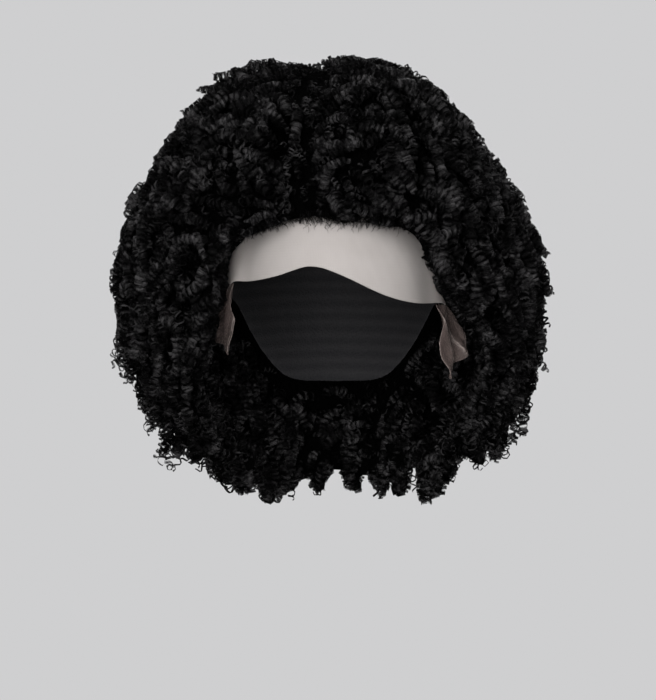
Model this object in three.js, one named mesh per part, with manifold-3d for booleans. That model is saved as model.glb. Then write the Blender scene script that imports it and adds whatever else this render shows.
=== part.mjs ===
// A black afro wig with a sheer lace front: a stretch cap, the lace panel with its two ear tabs,
// and a deep round mass of tight curls in six sections, parted off centre.
// Millimetres. +Z is up, the face opens towards -Y, and +X is the viewer's right.
// The origin is the top of the head, where its crown meets the inside of the cap.
import * as THREE from "three";
import { mergeVertices } from "three/addons/utils/BufferGeometryUtils.js";
import Module from "manifold-3d";

const wasm = await Module();
wasm.setup();

// The head that the cap is made for: an egg shape, widest at one level.
const HEAD_HALF_WIDTH = 75;
const HEAD_HALF_LENGTH = 95;
const CROWN_HEIGHT = 90; // from the widest level up to the crown
const HEAD_TAPER = 125; // from the widest level down to where the egg shape closes
const NAPE_DROP = 165; // from the crown down to the cap's rim at the nape

// The neck below it.
const NECK_HALF_WIDTH = 50;
const NECK_HALF_LENGTH = 52;
const NECK_SET_BACK = 12; // its axis lies this far behind the head's

// Cloth and lace.
const CAP_WALL = 1.2;
const LACE_WALL = 1;
const SEAM_GAP = 0.5; // between pieces that are stitched edge to edge, measured down the head
const HAIR_GAP = 1; // between the cap or lace and the hair on it

// The mass of curls, from the crown of the head.
const HAIR_HALF_WIDTH = 152;
const HAIR_FRONT = 106;
const HAIR_BACK = 163;
const HAIR_RISE = 65;
const HAIR_DROP = 224;
const HAIR_CENTRE_BACK = 25; // the curls radiate from a point this far behind the head's axis
const PLAN_POWER = 2.25; // 2 gives elliptical sections, and more gives squarer ones

// The curls clump into locks, which stand out as soft domes.
const LOCK_COUNT = 170;
const LOCK_RELIEF = 12;
const LOCK_LENGTHENING = 1.45; // how much longer than wide a dome is, down the hair

// The parting, and how the hair is divided into sections.
const PART_OFFSET = 21; // to the viewer's left of the middle
const PART_HALF_WIDTH = 15;
const PART_DEPTH = 17;
const PART_LENGTH = 75; // from the front of the hair back to where it starts to fade
const SECTION_GAP = 0.3;
const EAR_LINE_BACK = 14; // the front sections end this far behind the head's axis
const TEMPLE_DROP = 62; // the side sections start this far below the crown
const NAPE_SECTION_DROP = 112;

// The locks that hang free round the bottom.
const HANGING_LOCK_LENGTH = 34;
const HANGING_LOCK_RADIUS = 13;
const HANGING_LOCK_ROOT = 13; // the stretch that is buried in the mass
const HANGING_LOCK_SIDES = 6;

// The lace ear tabs.
const TAB_LENGTH = 52;
const TAB_FLARE = 17; // how far the loose tab on the wearer's left stands off the head
const TAB_FROM = 66; // azimuths of a tab's front and back corners
const TAB_TO = 84;

// How finely the curved surfaces are divided.
const CAP_COLUMNS = 48; // round the whole head, and the lace has its share of them
const CAP_ROWS = 6;
const LACE_ROWS = 6;
const TAB_ROWS = 6;
const TAB_COLUMNS = 8;
const HAIR_DETAIL = 13;
const HOLLOW_ROWS = 16;
const HOLLOW_COLUMNS = 36;

// The cap's edge round the head. Azimuths are degrees from the front, positive to the viewer's right,
// and drops are shares of NAPE_DROP.
const CAP_RIM = [
  { azimuth: 0, drop: 0.09 },
  { azimuth: 30, drop: 0.11 },
  { azimuth: 55, drop: 0.2 },
  { azimuth: 75, drop: 0.41 },
  { azimuth: 90, drop: 0.58 },
  { azimuth: 112, drop: 0.64 },
  { azimuth: 128, drop: 0.83 },
  { azimuth: 145, drop: 0.97 },
  { azimuth: 180, drop: 1 },
];

// The lace's free lower edge, cut by hand in a slow wave across the forehead.
const LACE_EDGE = [
  { azimuth: -90, drop: 0.63 },
  { azimuth: -70, drop: 0.525 },
  { azimuth: -48, drop: 0.51 },
  { azimuth: -29, drop: 0.48 },
  { azimuth: -13, drop: 0.44 },
  { azimuth: 2, drop: 0.475 },
  { azimuth: 24, drop: 0.557 },
  { azimuth: 43, drop: 0.595 },
  { azimuth: 67, drop: 0.605 },
  { azimuth: 90, drop: 0.63 },
];

// The opening in the hair for the face, seen from the front. Drops are shares of NAPE_DROP, and
// the edges are shares of HEAD_HALF_WIDTH, right being the wearer's right.
const FACE_OPENING = [
  { drop: 0.262, right: -0.31, left: 0.18 },
  { drop: 0.285, right: -0.5, left: 0.5 },
  { drop: 0.312, right: -0.66, left: 0.64 },
  { drop: 0.335, right: -0.82, left: 0.7 },
  { drop: 0.37, right: -0.94, left: 0.75 },
  { drop: 0.445, right: -0.985, left: 0.83 },
  { drop: 0.53, right: -1, left: 0.9 },
  { drop: 0.61, right: -1.04, left: 1.02 },
  { drop: 0.67, right: -1.14, left: 1.19 },
  { drop: 0.76, right: -1.22, left: 1.3 },
  { drop: 0.89, right: -1.22, left: 1.28 },
  { drop: 1, right: -1.15, left: 1.19 },
  { drop: 1.15, right: -1.02, left: 1.02 },
  { drop: 1.3, right: -0.92, left: 0.9 },
  { drop: 1.6, right: -0.84, left: 0.8 },
];

// How the opening widens towards the face: the place along Y, as a share of HEAD_HALF_LENGTH from the
// head's axis, and the scale of the outline there.
const OPENING_DEPTH = [
  { back: -2.4, scale: 1.28 },
  { back: -1.05, scale: 1.04 },
  { back: -0.7, scale: 1 },
  { back: 0.06, scale: 1 },
  { back: 0.13, scale: 0.96 },
];

// The mass of curls, level by level. Heights are shares of the hair's whole height from the bottom,
// the sides are shares of HAIR_HALF_WIDTH, front of HAIR_FRONT and back of HAIR_BACK.
const HAIR_SECTIONS = [
  { height: 0, right: 0.2, left: 0.2, front: 0.2, back: 0.3 },
  { height: 0.02, right: 0.44, left: 0.46, front: 0.45, back: 0.5 },
  { height: 0.06, right: 0.6, left: 0.63, front: 0.62, back: 0.66 },
  { height: 0.12, right: 0.76, left: 0.8, front: 0.78, back: 0.8 },
  { height: 0.2, right: 0.89, left: 0.88, front: 0.88, back: 0.91 },
  { height: 0.3, right: 0.98, left: 0.94, front: 0.96, back: 0.98 },
  { height: 0.42, right: 1.02, left: 0.965, front: 1, back: 1 },
  { height: 0.53, right: 1.01, left: 0.945, front: 1, back: 0.98 },
  { height: 0.64, right: 0.93, left: 0.875, front: 0.99, back: 0.94 },
  { height: 0.75, right: 0.84, left: 0.74, front: 0.95, back: 0.85 },
  { height: 0.85, right: 0.72, left: 0.61, front: 0.83, back: 0.73 },
  { height: 0.94, right: 0.56, left: 0.45, front: 0.6, back: 0.54 },
  { height: 0.98, right: 0.38, left: 0.3, front: 0.38, back: 0.38 },
  { height: 1, right: 0.14, left: 0.12, front: 0.14, back: 0.16 },
];

// The six sections of hair. A section lies to one side of the parting, or spans both, in front of
// or behind the ear line, and above or below a level. Its rows of hanging locks fill a range of azimuths.
const HAIR_NODES = [
  { name: "hair_front_right", side: -1, front: true, lower: false, level: TEMPLE_DROP },
  { name: "hair_front_left", side: 1, front: true, lower: false, level: TEMPLE_DROP },
  { name: "hair_side_right", side: -1, front: true, lower: true, level: TEMPLE_DROP, rows: 2, from: -80, to: -46 },
  { name: "hair_side_left", side: 1, front: true, lower: true, level: TEMPLE_DROP, rows: 2, from: 46, to: 80 },
  { name: "hair_crown", side: 0, front: false, lower: false, level: NAPE_SECTION_DROP },
  { name: "hair_nape", side: 0, front: false, lower: true, level: NAPE_SECTION_DROP, rows: 3, from: 86, to: 274 },
];

// The rows of hanging locks: how far down from the vertical they root, how many fill a full turn,
// and their length as a share of HANGING_LOCK_LENGTH.
const LOCK_ROWS = [
  { polar: 131, perTurn: 22, length: 0.95 },
  { polar: 146, perTurn: 17, length: 0.9 },
  { polar: 160, perTurn: 12, length: 1.2 },
];

// A hanging lock from root to tip: how far along it, and its thickness there.
const LOCK_TAPER = [
  { along: 0, radius: 0.8 },
  { along: 0.42, radius: 1 },
  { along: 0.8, radius: 0.84 },
  { along: 0.96, radius: 0.46 },
];

// A loose ear tab across its width: how far it stands off, and how long it hangs.
const TAB_FOLDS = [
  { across: 0, out: 0.12, length: 0.72 },
  { across: 0.28, out: 0.5, length: 1 },
  { across: 0.52, out: 0.2, length: 0.8 },
  { across: 0.78, out: 1, length: 0.66 },
  { across: 1, out: 0.62, length: 0.42 },
];

// The two tabs: their side, with 1 for the wearer's left, and their flare and length as shares of
// TAB_FLARE and TAB_LENGTH. The one on the right lies flatter.
const TABS = [
  { name: "ear_tab_right", side: -1, flare: 0.45, length: 0.94 },
  { name: "ear_tab_left", side: 1, flare: 1, length: 1 },
];

const HAIR_CENTRE = new THREE.Vector3(0, HAIR_CENTRE_BACK, -CROWN_HEIGHT);
const HAIR_HEIGHT = HAIR_RISE + HAIR_DROP;
const BEYOND = 4 * HAIR_HALF_WIDTH; // past the end of everything
const rad = THREE.MathUtils.degToRad;

// A column of a table at a place between its rows, on a smooth curve through them.
function read(table, key, at, column) {
  const last = table.length - 1;
  if (at <= table[0][key]) return table[0][column];
  if (at >= table[last][key]) return table[last][column];
  const upper = table.findIndex((row) => row[key] >= at);
  const slope = (k) => {
    const [p, q] = [table[Math.max(k - 1, 0)], table[Math.min(k + 1, last)]];
    return (q[column] - p[column]) / (q[key] - p[key]);
  };
  const [a, b] = [table[upper - 1], table[upper]];
  const span = b[key] - a[key];
  const t = (at - a[key]) / span;
  const [t2, t3] = [t * t, t * t * t];
  return (
    (2 * t3 - 3 * t2 + 1) * a[column] +
    (t3 - 2 * t2 + t) * span * slope(upper - 1) +
    (3 * t2 - 2 * t3) * b[column] +
    (t3 - t2) * span * slope(upper)
  );
}

// The solid of a closed geometry, for joining and cutting.
function solidOf(geometry) {
  const merged = mergeVertices(geometry.deleteAttribute("normal").deleteAttribute("uv"));
  const vertProperties = merged.attributes.position.array;
  const triVerts = new Uint32Array(merged.index.array);
  return new wasm.Manifold(new wasm.Mesh({ numProp: 3, vertProperties, triVerts }));
}

function geometryOf(solid) {
  const { vertProperties, triVerts } = solid.getMesh();
  return new THREE.BufferGeometry()
    .setAttribute("position", new THREE.BufferAttribute(vertProperties, 3))
    .setIndex(new THREE.BufferAttribute(triVerts, 1));
}

// A closed geometry from points and triangles, with its faces turned out.
function geometryFrom(points, index) {
  let volume = 0;
  for (let i = 0; i < index.length; i += 3) {
    const [a, b, c] = index.slice(i, i + 3).map((k) => points[k]);
    volume += a.dot(b.clone().cross(c));
  }
  const outward = volume > 0 ? index : index.slice().reverse();
  return new THREE.BufferGeometry().setFromPoints(points).setIndex(outward);
}

// A closed body through rings of points. An end ring is one point, or is closed by a flat fan.
function loft(rings) {
  const middle = (ring) =>
    ring.reduce((sum, p) => sum.add(p), new THREE.Vector3()).divideScalar(ring.length);
  const [first, last] = [rings[0], rings[rings.length - 1]];
  const whole = [
    ...(first.length > 1 ? [[middle(first)]] : []),
    ...rings,
    ...(last.length > 1 ? [[middle(last)]] : []),
  ];
  const starts = [];
  const points = [];
  for (const ring of whole) {
    starts.push(points.length);
    points.push(...ring);
  }
  const index = [];
  for (let r = 1; r < whole.length; r++) {
    const [a, b] = [whole[r - 1], whole[r]];
    const n = Math.max(a.length, b.length);
    for (let i = 0; i < n; i++) {
      const j = (i + 1) % n;
      const at = (ring, start, k) => start + (ring.length > 1 ? k : 0);
      if (b.length > 1) index.push(at(a, starts[r - 1], i), starts[r] + j, starts[r] + i);
      if (a.length > 1) index.push(starts[r - 1] + i, starts[r - 1] + j, at(b, starts[r], j));
    }
  }
  return geometryFrom(points, index);
}

// A sheet between two grids of points, closed round its four edges.
function sheet(face, back) {
  const rows = face.length;
  const columns = face[0].length;
  const points = [...face.flat(), ...back.flat()];
  const at = (side, r, c) => side * rows * columns + r * columns + c;
  const index = [];
  const quad = (a, b, c, d) => index.push(a, b, c, a, c, d);
  for (let r = 1; r < rows; r++) {
    for (let c = 1; c < columns; c++) {
      quad(at(0, r - 1, c - 1), at(0, r - 1, c), at(0, r, c), at(0, r, c - 1));
      quad(at(1, r - 1, c - 1), at(1, r, c - 1), at(1, r, c), at(1, r - 1, c));
    }
  }
  for (let c = 1; c < columns; c++) {
    quad(at(0, 0, c), at(0, 0, c - 1), at(1, 0, c - 1), at(1, 0, c));
    quad(at(0, rows - 1, c - 1), at(0, rows - 1, c), at(1, rows - 1, c), at(1, rows - 1, c - 1));
  }
  for (let r = 1; r < rows; r++) {
    quad(at(0, r - 1, 0), at(0, r, 0), at(1, r, 0), at(1, r - 1, 0));
    quad(at(0, r, columns - 1), at(0, r - 1, columns - 1), at(1, r - 1, columns - 1), at(1, r, columns - 1));
  }
  return geometryFrom(points, index);
}

// A direction from an azimuth and a polar angle, which is 0 straight up and 90 level.
function towards(azimuth, polar) {
  const [a, p] = [rad(azimuth), rad(polar)];
  return new THREE.Vector3(Math.sin(p) * Math.sin(a), -Math.sin(p) * Math.cos(a), Math.cos(p));
}

// A point of the head's surface, or off it by a distance along its normal. The polar angle is 0 at
// the crown and 90 at the widest level.
function headPoint(azimuth, polar, off = 0) {
  const tall = polar < 90 ? CROWN_HEIGHT : HEAD_TAPER;
  const unit = towards(azimuth, polar);
  const size = new THREE.Vector3(HEAD_HALF_WIDTH, HEAD_HALF_LENGTH, tall);
  const normal = unit.clone().divide(size).normalize();
  const onHead = unit.multiply(size);
  onHead.z -= CROWN_HEIGHT;
  return onHead.addScaledVector(normal, off);
}

// The polar angle at a drop below the crown.
function polarAt(drop) {
  const below = drop - CROWN_HEIGHT;
  const cosine = below < 0 ? -below / CROWN_HEIGHT : -below / HEAD_TAPER;
  return THREE.MathUtils.radToDeg(Math.acos(THREE.MathUtils.clamp(cosine, -1, 1)));
}

const rimPolar = (azimuth) => polarAt(NAPE_DROP * read(CAP_RIM, "azimuth", Math.abs(azimuth), "drop"));
const lacePolar = (azimuth) => polarAt(NAPE_DROP * read(LACE_EDGE, "azimuth", azimuth, "drop"));
const seamAngle = THREE.MathUtils.radToDeg(SEAM_GAP / CROWN_HEIGHT);

const times = (count, make) => Array.from({ length: count }, (_, i) => make(i));
const between = THREE.MathUtils.lerp;

// The stretch cap: a dome from the lace's back seam and the ears down to the nape.
function capGeometry() {
  const azimuths = times(CAP_COLUMNS, (i) => (i * 360) / CAP_COLUMNS - 180);
  const ring = (share, off) => azimuths.map((a) => headPoint(a, share * rimPolar(a), off));
  const shares = times(CAP_ROWS, (i) => (i + 1) / CAP_ROWS);
  return loft([
    [headPoint(0, 0, CAP_WALL)],
    ...shares.map((share) => ring(share, CAP_WALL)),
    ...shares.reverse().map((share) => ring(share, 0)),
    [headPoint(0, 0, 0)],
  ]);
}

// The lace panel: from the cap's front edge down over the forehead, and back to the temples.
function laceGeometry() {
  const [from, to] = [LACE_EDGE[0].azimuth, LACE_EDGE[LACE_EDGE.length - 1].azimuth];
  const columns = (CAP_COLUMNS * (to - from)) / 360;
  const grid = (off) =>
    times(LACE_ROWS, (r) =>
      times(columns + 1, (c) => {
        const azimuth = between(from, to, c / columns);
        const seam = rimPolar(azimuth) + seamAngle;
        return headPoint(azimuth, between(seam, lacePolar(azimuth), r / (LACE_ROWS - 1)), off);
      }),
    );
  return sheet(grid(LACE_WALL), grid(0));
}

// An ear tab: a loose flap of lace that hangs from the panel's corner at one temple in soft folds.
function tabGeometry({ side, flare, length }) {
  const up = new THREE.Vector3(0, 0, 1);
  const grid = (off) =>
    times(TAB_ROWS, (r) =>
      times(TAB_COLUMNS, (c) => {
        const [across, down] = [c / (TAB_COLUMNS - 1), r / (TAB_ROWS - 1)];
        const azimuth = side * between(TAB_FROM, TAB_TO, across);
        const top = headPoint(azimuth, lacePolar(azimuth) + seamAngle, off);
        const away = headPoint(azimuth, 90, 1).sub(headPoint(azimuth, 90, 0));
        const fold = flare * TAB_FLARE * read(TAB_FOLDS, "across", across, "out");
        const fall = length * TAB_LENGTH * read(TAB_FOLDS, "across", across, "length");
        return top.addScaledVector(away, fold * Math.sin(rad(90 * down))).addScaledVector(up, -fall * down);
      }),
    );
  return sheet(grid(LACE_WALL), grid(0));
}

// How far the mass of curls reaches from its centre in a direction, without its locks.
function reach(direction) {
  const inside = (distance) => {
    const p = HAIR_CENTRE.clone().addScaledVector(direction, distance);
    const height = (p.z + HAIR_DROP) / HAIR_HEIGHT;
    if (height < 0 || height > 1) return false;
    const extent = (column) => read(HAIR_SECTIONS, "height", height, column);
    const wide = HAIR_HALF_WIDTH * extent(p.x < 0 ? "right" : "left");
    const deep = p.y < 0 ? HAIR_FRONT * extent("front") : HAIR_BACK * extent("back");
    return Math.abs(p.x / wide) ** PLAN_POWER + Math.abs(p.y / deep) ** PLAN_POWER < 1;
  };
  let [near, far] = [0, BEYOND];
  for (let i = 0; i < 24; i++) {
    const middle = (near + far) / 2;
    if (inside(middle)) near = middle;
    else far = middle;
  }
  return near;
}

// The tips of the locks, spread evenly over the directions of a sphere.
function lockDirections() {
  const goldenAngle = 180 * (3 - Math.sqrt(5));
  const polar = (i) => THREE.MathUtils.radToDeg(Math.acos(1 - (2 * i + 1) / LOCK_COUNT));
  return times(LOCK_COUNT, (i) => towards(i * goldenAngle, polar(i)));
}

// How far the surface lies below the locks' tips at a direction: 0 at a tip, 1 between locks.
function lockDepth(direction, tips) {
  const down = new THREE.Vector3(0, 0, -1).projectOnPlane(direction).normalize();
  const halfSpacing = Math.sqrt((4 * Math.PI) / LOCK_COUNT) / 2;
  const nearest = Math.min(
    ...tips.map((tip) => {
      const off = tip.clone().sub(direction);
      const along = off.dot(down);
      const squeezed = off.lengthSq() - along * along + (along / LOCK_LENGTHENING) ** 2;
      return Math.sqrt(squeezed * LOCK_LENGTHENING);
    }),
  );
  const share = Math.min(1, nearest / (1.25 * halfSpacing));
  return 1 - Math.sqrt(1 - 0.96 * share * share);
}

// How far the hair falls away at the parting, a valley that fades towards the back.
function partDepth(p) {
  const over = (p.x + PART_OFFSET) / PART_HALF_WIDTH;
  const back = (p.y + HAIR_FRONT) / PART_LENGTH;
  const fade = THREE.MathUtils.smoothstep(back, 0.8, 1.35);
  return PART_DEPTH * Math.exp(-over * over) * (1 - fade);
}

// The whole mass, with locks over it and the parting in it, before its hollows are cut.
function hairMass() {
  const tips = lockDirections();
  const ball = mergeVertices(
    new THREE.IcosahedronGeometry(1, HAIR_DETAIL).deleteAttribute("normal").deleteAttribute("uv"),
  );
  const place = ball.attributes.position;
  for (let i = 0; i < place.count; i++) {
    const direction = new THREE.Vector3().fromBufferAttribute(place, i).normalize();
    const far = reach(direction);
    const outer = HAIR_CENTRE.clone().addScaledVector(direction, far);
    const inward = LOCK_RELIEF * lockDepth(direction, tips) + (outer.z > -TEMPLE_DROP ? partDepth(outer) : 0);
    outer.addScaledVector(direction, -inward);
    place.setXYZ(i, outer.x, outer.y, outer.z);
  }
  return solidOf(ball);
}

// The room for the head, the cap and the lace.
function headHollow() {
  const off = Math.max(CAP_WALL, LACE_WALL) + HAIR_GAP;
  const azimuths = times(HOLLOW_COLUMNS, (i) => (i * 360) / HOLLOW_COLUMNS);
  const inner = times(HOLLOW_ROWS - 1, (i) => ((i + 1) * 180) / HOLLOW_ROWS);
  return solidOf(
    loft([
      [headPoint(0, 0, off)],
      ...inner.map((polar) => azimuths.map((a) => headPoint(a, polar, off))),
      [headPoint(0, 180, off)],
    ]),
  );
}

// The room for the neck, open below.
function neckHollow() {
  const sides = 24;
  const ring = (z) =>
    times(sides, (i) => {
      const turn = (i * 2 * Math.PI) / sides;
      return new THREE.Vector3(
        NECK_HALF_WIDTH * Math.sin(turn),
        NECK_SET_BACK - NECK_HALF_LENGTH * Math.cos(turn),
        z,
      );
    });
  return solidOf(loft([ring(-CROWN_HEIGHT), ring(-BEYOND)]));
}

// The opening for the face, wider towards the front.
function faceOpening() {
  const drops = FACE_OPENING.map((row) => row.drop * NAPE_DROP);
  drops[drops.length - 1] = BEYOND;
  const edge = (column) =>
    FACE_OPENING.map((row, i) => new THREE.Vector2(row[column] * HEAD_HALF_WIDTH, -drops[i]));
  const outline = [...edge("left"), ...edge("right").reverse()];
  const middle = new THREE.Vector2(0, -NAPE_DROP * 0.7);
  const ring = ({ back, scale }) =>
    outline.map((p) => {
      const q = p.clone().sub(middle).multiplyScalar(scale).add(middle);
      return new THREE.Vector3(q.x, back * HEAD_HALF_LENGTH, q.y);
    });
  return solidOf(loft(OPENING_DEPTH.map(ring)));
}

// A hanging lock: a tapered tube that leaves the mass and bends downwards.
function hangingLock(azimuth, polar, length) {
  const direction = towards(azimuth, polar);
  const start = HAIR_CENTRE.clone().addScaledVector(direction, reach(direction) - HANGING_LOCK_RADIUS);
  const root = start.clone().addScaledVector(direction, -HANGING_LOCK_ROOT);
  const bend = start.clone().addScaledVector(direction, length * 0.3);
  const tip = start.clone().addScaledVector(direction, length * 0.36);
  tip.z -= length * 0.6;
  const path = new THREE.QuadraticBezierCurve3(root, bend, tip);
  const across = towards(azimuth + 90, 90);
  const ring = ({ along, radius }) => {
    const outward = path.getTangentAt(along).cross(across);
    return times(HANGING_LOCK_SIDES, (i) => {
      const turn = (i * 2 * Math.PI) / HANGING_LOCK_SIDES;
      return path
        .getPointAt(along)
        .addScaledVector(across, HANGING_LOCK_RADIUS * radius * Math.cos(turn))
        .addScaledVector(outward, HANGING_LOCK_RADIUS * radius * Math.sin(turn));
    });
  };
  return solidOf(loft([...LOCK_TAPER.map(ring), [tip]]));
}

// A section's hanging locks, row by row, each spread evenly with half a space at its ends.
function hangingLocks({ rows = 0, from, to }) {
  return LOCK_ROWS.slice(0, rows).flatMap(({ polar, perTurn, length }) => {
    const count = Math.max(1, Math.round((perTurn * (to - from)) / 360));
    return times(count, (i) =>
      hangingLock(between(from, to, (i + 0.5) / count), polar, length * HANGING_LOCK_LENGTH),
    );
  });
}

// The block of space that belongs to one section of hair.
function sectionBlock({ side, front, lower, level }) {
  const gap = SECTION_GAP / 2;
  const x = side < 0 ? [-BEYOND, -PART_OFFSET - gap] : side > 0 ? [-PART_OFFSET + gap, BEYOND] : [-BEYOND, BEYOND];
  const y = front ? [-BEYOND, EAR_LINE_BACK - gap] : [EAR_LINE_BACK + gap, BEYOND];
  const z = lower ? [-BEYOND, -level - gap] : [-level + gap, BEYOND];
  const size = [x, y, z].map(([low, high]) => high - low);
  const middle = [x, y, z].map(([low, high]) => (high + low) / 2);
  return solidOf(new THREE.BoxGeometry(...size).translate(...middle));
}

const curls = new THREE.MeshStandardMaterial({ color: 0x17161a, roughness: 0.55, metalness: 0 });
const stretchNet = new THREE.MeshStandardMaterial({ color: 0x111013, roughness: 0.9, metalness: 0 });
const lace = new THREE.MeshStandardMaterial({
  color: 0xcabfb8,
  roughness: 0.85,
  metalness: 0,
  transparent: true,
  opacity: 0.7,
});

function piece(name, geometry, material) {
  const mesh = new THREE.Mesh(geometry, material);
  mesh.name = name;
  return mesh;
}

const wig = new THREE.Group();
wig.add(
  piece("cap", capGeometry(), stretchNet),
  piece("lace_front", laceGeometry(), lace),
  ...TABS.map((tab) => piece(tab.name, tabGeometry(tab), lace)),
);

const hollowMass = hairMass().subtract(headHollow()).subtract(neckHollow()).subtract(faceOpening());
for (const section of HAIR_NODES) {
  const body = hollowMass.intersect(sectionBlock(section));
  const solid = hangingLocks(section).reduce((sum, lock) => sum.add(lock), body);
  wig.add(piece(section.name, geometryOf(solid), curls));
}

export default wig;
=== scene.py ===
"""A round black wig of tight ringlets on a stretch cap, with a sheer lace front."""

import math
import random

import bmesh
import bpy
import numpy as np
from mathutils import Matrix, Vector, kdtree, noise
from mathutils.bvhtree import BVHTree


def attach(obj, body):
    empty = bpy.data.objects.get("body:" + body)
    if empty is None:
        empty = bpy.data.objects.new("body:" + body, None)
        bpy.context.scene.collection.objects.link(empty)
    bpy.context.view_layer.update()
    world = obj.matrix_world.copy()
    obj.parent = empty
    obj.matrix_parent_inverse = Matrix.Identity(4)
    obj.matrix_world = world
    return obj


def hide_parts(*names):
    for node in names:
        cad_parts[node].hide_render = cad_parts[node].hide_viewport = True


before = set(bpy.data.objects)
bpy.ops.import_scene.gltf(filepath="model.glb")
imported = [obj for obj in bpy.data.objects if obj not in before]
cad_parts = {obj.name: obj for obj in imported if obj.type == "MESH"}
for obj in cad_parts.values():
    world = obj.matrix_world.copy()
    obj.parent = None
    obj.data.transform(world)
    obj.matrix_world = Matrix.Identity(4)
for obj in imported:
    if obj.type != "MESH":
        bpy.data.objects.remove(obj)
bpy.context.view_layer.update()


# The cap: a dome of black elastic net, knitted in fine rows, with the rows of hair stitched round
# it. Its own stretch holds it on the head. Its form is the solid's, with the facets rounded away.
NET_PITCH = 0.0016
WEFT_PITCH = 0.009
WAVES_PER_SCALE = 0.314
NET_BLACK = (0.004, 0.004, 0.005, 1)
NET_GREY = (0.014, 0.0135, 0.0145, 1)
WELD_REACH = 1e-5
ROUNDING = 2


class Wire:
    """A socket of a node tree. Arithmetic on it adds Math nodes."""

    def __init__(self, tree, socket):
        self.tree = tree
        self.socket = socket

    def math(self, operation, *others):
        return math_node(self.tree, operation, self, *others)

    def __add__(self, other):
        return math_node(self.tree, "ADD", self, other)

    def __sub__(self, other):
        return math_node(self.tree, "SUBTRACT", self, other)

    def __rsub__(self, other):
        return math_node(self.tree, "SUBTRACT", other, self)

    def __mul__(self, other):
        return math_node(self.tree, "MULTIPLY", self, other)

    def __truediv__(self, other):
        return math_node(self.tree, "DIVIDE", self, other)

    def __rtruediv__(self, other):
        return math_node(self.tree, "DIVIDE", other, self)

    __radd__ = __add__
    __rmul__ = __mul__


def math_node(tree, operation, *values):
    return add_node(tree, "ShaderNodeMath", {"operation": operation}, dict(enumerate(values)))


def add_node(tree, kind, settings=None, sockets=None, output=0):
    """Adds a node with its settings first, then the values or links of its sockets."""
    node = tree.nodes.new(kind)
    for name, value in (settings or {}).items():
        setattr(node, name, value)
    for key, value in (sockets or {}).items():
        feed(tree, node.inputs[key], value)
    return Wire(tree, node.outputs[output])


def feed(tree, socket, value):
    """Links a socket to a wire, or gives it a value that is the same everywhere."""
    if isinstance(value, Wire):
        tree.links.new(value.socket, socket)
    else:
        socket.default_value = value


def on_piece(tree):
    """The place on the piece, in its own frame."""
    return add_node(tree, "ShaderNodeTexCoord", output="Object")


def stored(tree, name):
    """A number that the mesh holds for each of its points."""
    return add_node(tree, "ShaderNodeAttribute", {"attribute_name": name}, output="Fac")


def blended(tree, share, low, high):
    """A colour between two others. They are sockets 6 and 7 of a Mix node, and the result is 2."""
    return add_node(tree, "ShaderNodeMix", {"data_type": "RGBA"}, {0: share, 6: low, 7: high}, output=2)


def eased(tree, value, low, high, start=0.0, end=1.0):
    """A number that goes smoothly from start to end as the value goes from low to high."""
    return add_node(tree, "ShaderNodeMapRange", {"interpolation_type": "SMOOTHSTEP"},
                    {"Value": value, "From Min": low, "From Max": high, "To Min": start, "To Max": end})


def relief(tree, height, depth, strength):
    return add_node(tree, "ShaderNodeBump", {}, {"Strength": strength, "Distance": depth, "Height": height})


def finish_of(name, make):
    """A new material, whose shader's sockets are what make returns for its node tree."""
    material = bpy.data.materials.new(name)
    material.use_nodes = True
    tree = material.node_tree
    shader = tree.nodes["Principled BSDF"]
    for key, value in make(tree).items():
        feed(tree, shader.inputs[key], value)
    return material


def placed(name, data):
    """A new object at the origin that holds a mesh, a lamp or a camera."""
    thing = bpy.data.objects.new(name, data)
    bpy.context.scene.collection.objects.link(thing)
    return thing


def baked(thing):
    """The mesh of an object with its modifiers applied. The object itself goes."""
    made = bpy.data.meshes.new_from_object(thing.evaluated_get(bpy.context.evaluated_depsgraph_get()))
    bpy.data.objects.remove(thing)
    return made


def add_piece(name, mesh, material, stands_for=()):
    """A new object with its place in its mesh, which rides on the wig's one body."""
    piece = placed(name, mesh)
    mesh.materials.clear()
    mesh.materials.append(material)
    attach(piece, "root")
    if stands_for:
        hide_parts(*stands_for)
    return piece


def welded(nodes, swell=0.0):
    """The joined solids of some nodes with their shared corners merged, and swollen a little."""
    cloth = bmesh.new()
    for node in nodes:
        cloth.from_mesh(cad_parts[node].data)
    bmesh.ops.remove_doubles(cloth, verts=cloth.verts, dist=WELD_REACH)
    cloth.normal_update()
    for corner in cloth.verts:
        corner.co += corner.normal * swell
    return cloth


def shaded_smooth(mesh):
    mesh.polygons.foreach_set("use_smooth", [True] * len(mesh.polygons))


def smooth_copy(name, node):
    """A node's own form with its facets rounded away."""
    mesh = bpy.data.meshes.new(name)
    cloth = welded([node])
    cloth.to_mesh(mesh)
    cloth.free()
    rounded = placed(name + "_form", mesh)
    modifier = rounded.modifiers.new("round", "SUBSURF")
    modifier.levels = ROUNDING
    modifier.render_levels = ROUNDING
    made = baked(rounded)
    shaded_smooth(made)
    made.name = name
    return made


def net_finish(tree):
    place = on_piece(tree)
    rows = add_node(tree, "ShaderNodeTexWave", {"bands_direction": "Z"},
                    {"Vector": place, "Scale": WAVES_PER_SCALE / WEFT_PITCH, "Distortion": 0.6,
                     "Detail": 1.0}, output="Fac")
    knit = add_node(tree, "ShaderNodeTexVoronoi", {}, {"Vector": place, "Scale": 1 / NET_PITCH})
    return {"Base Color": blended(tree, rows * 0.4 + knit * 0.4, NET_BLACK, NET_GREY),
            "Normal": relief(tree, rows * 0.3 + knit * 0.5, depth=0.0012, strength=0.6),
            "Roughness": 0.85, "Specular IOR Level": 0.25}


stretch_net = finish_of("stretch net", net_finish)
cap = add_piece("cap_net", smooth_copy("cap_net", "cap"), stretch_net, ["cap"])


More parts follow.
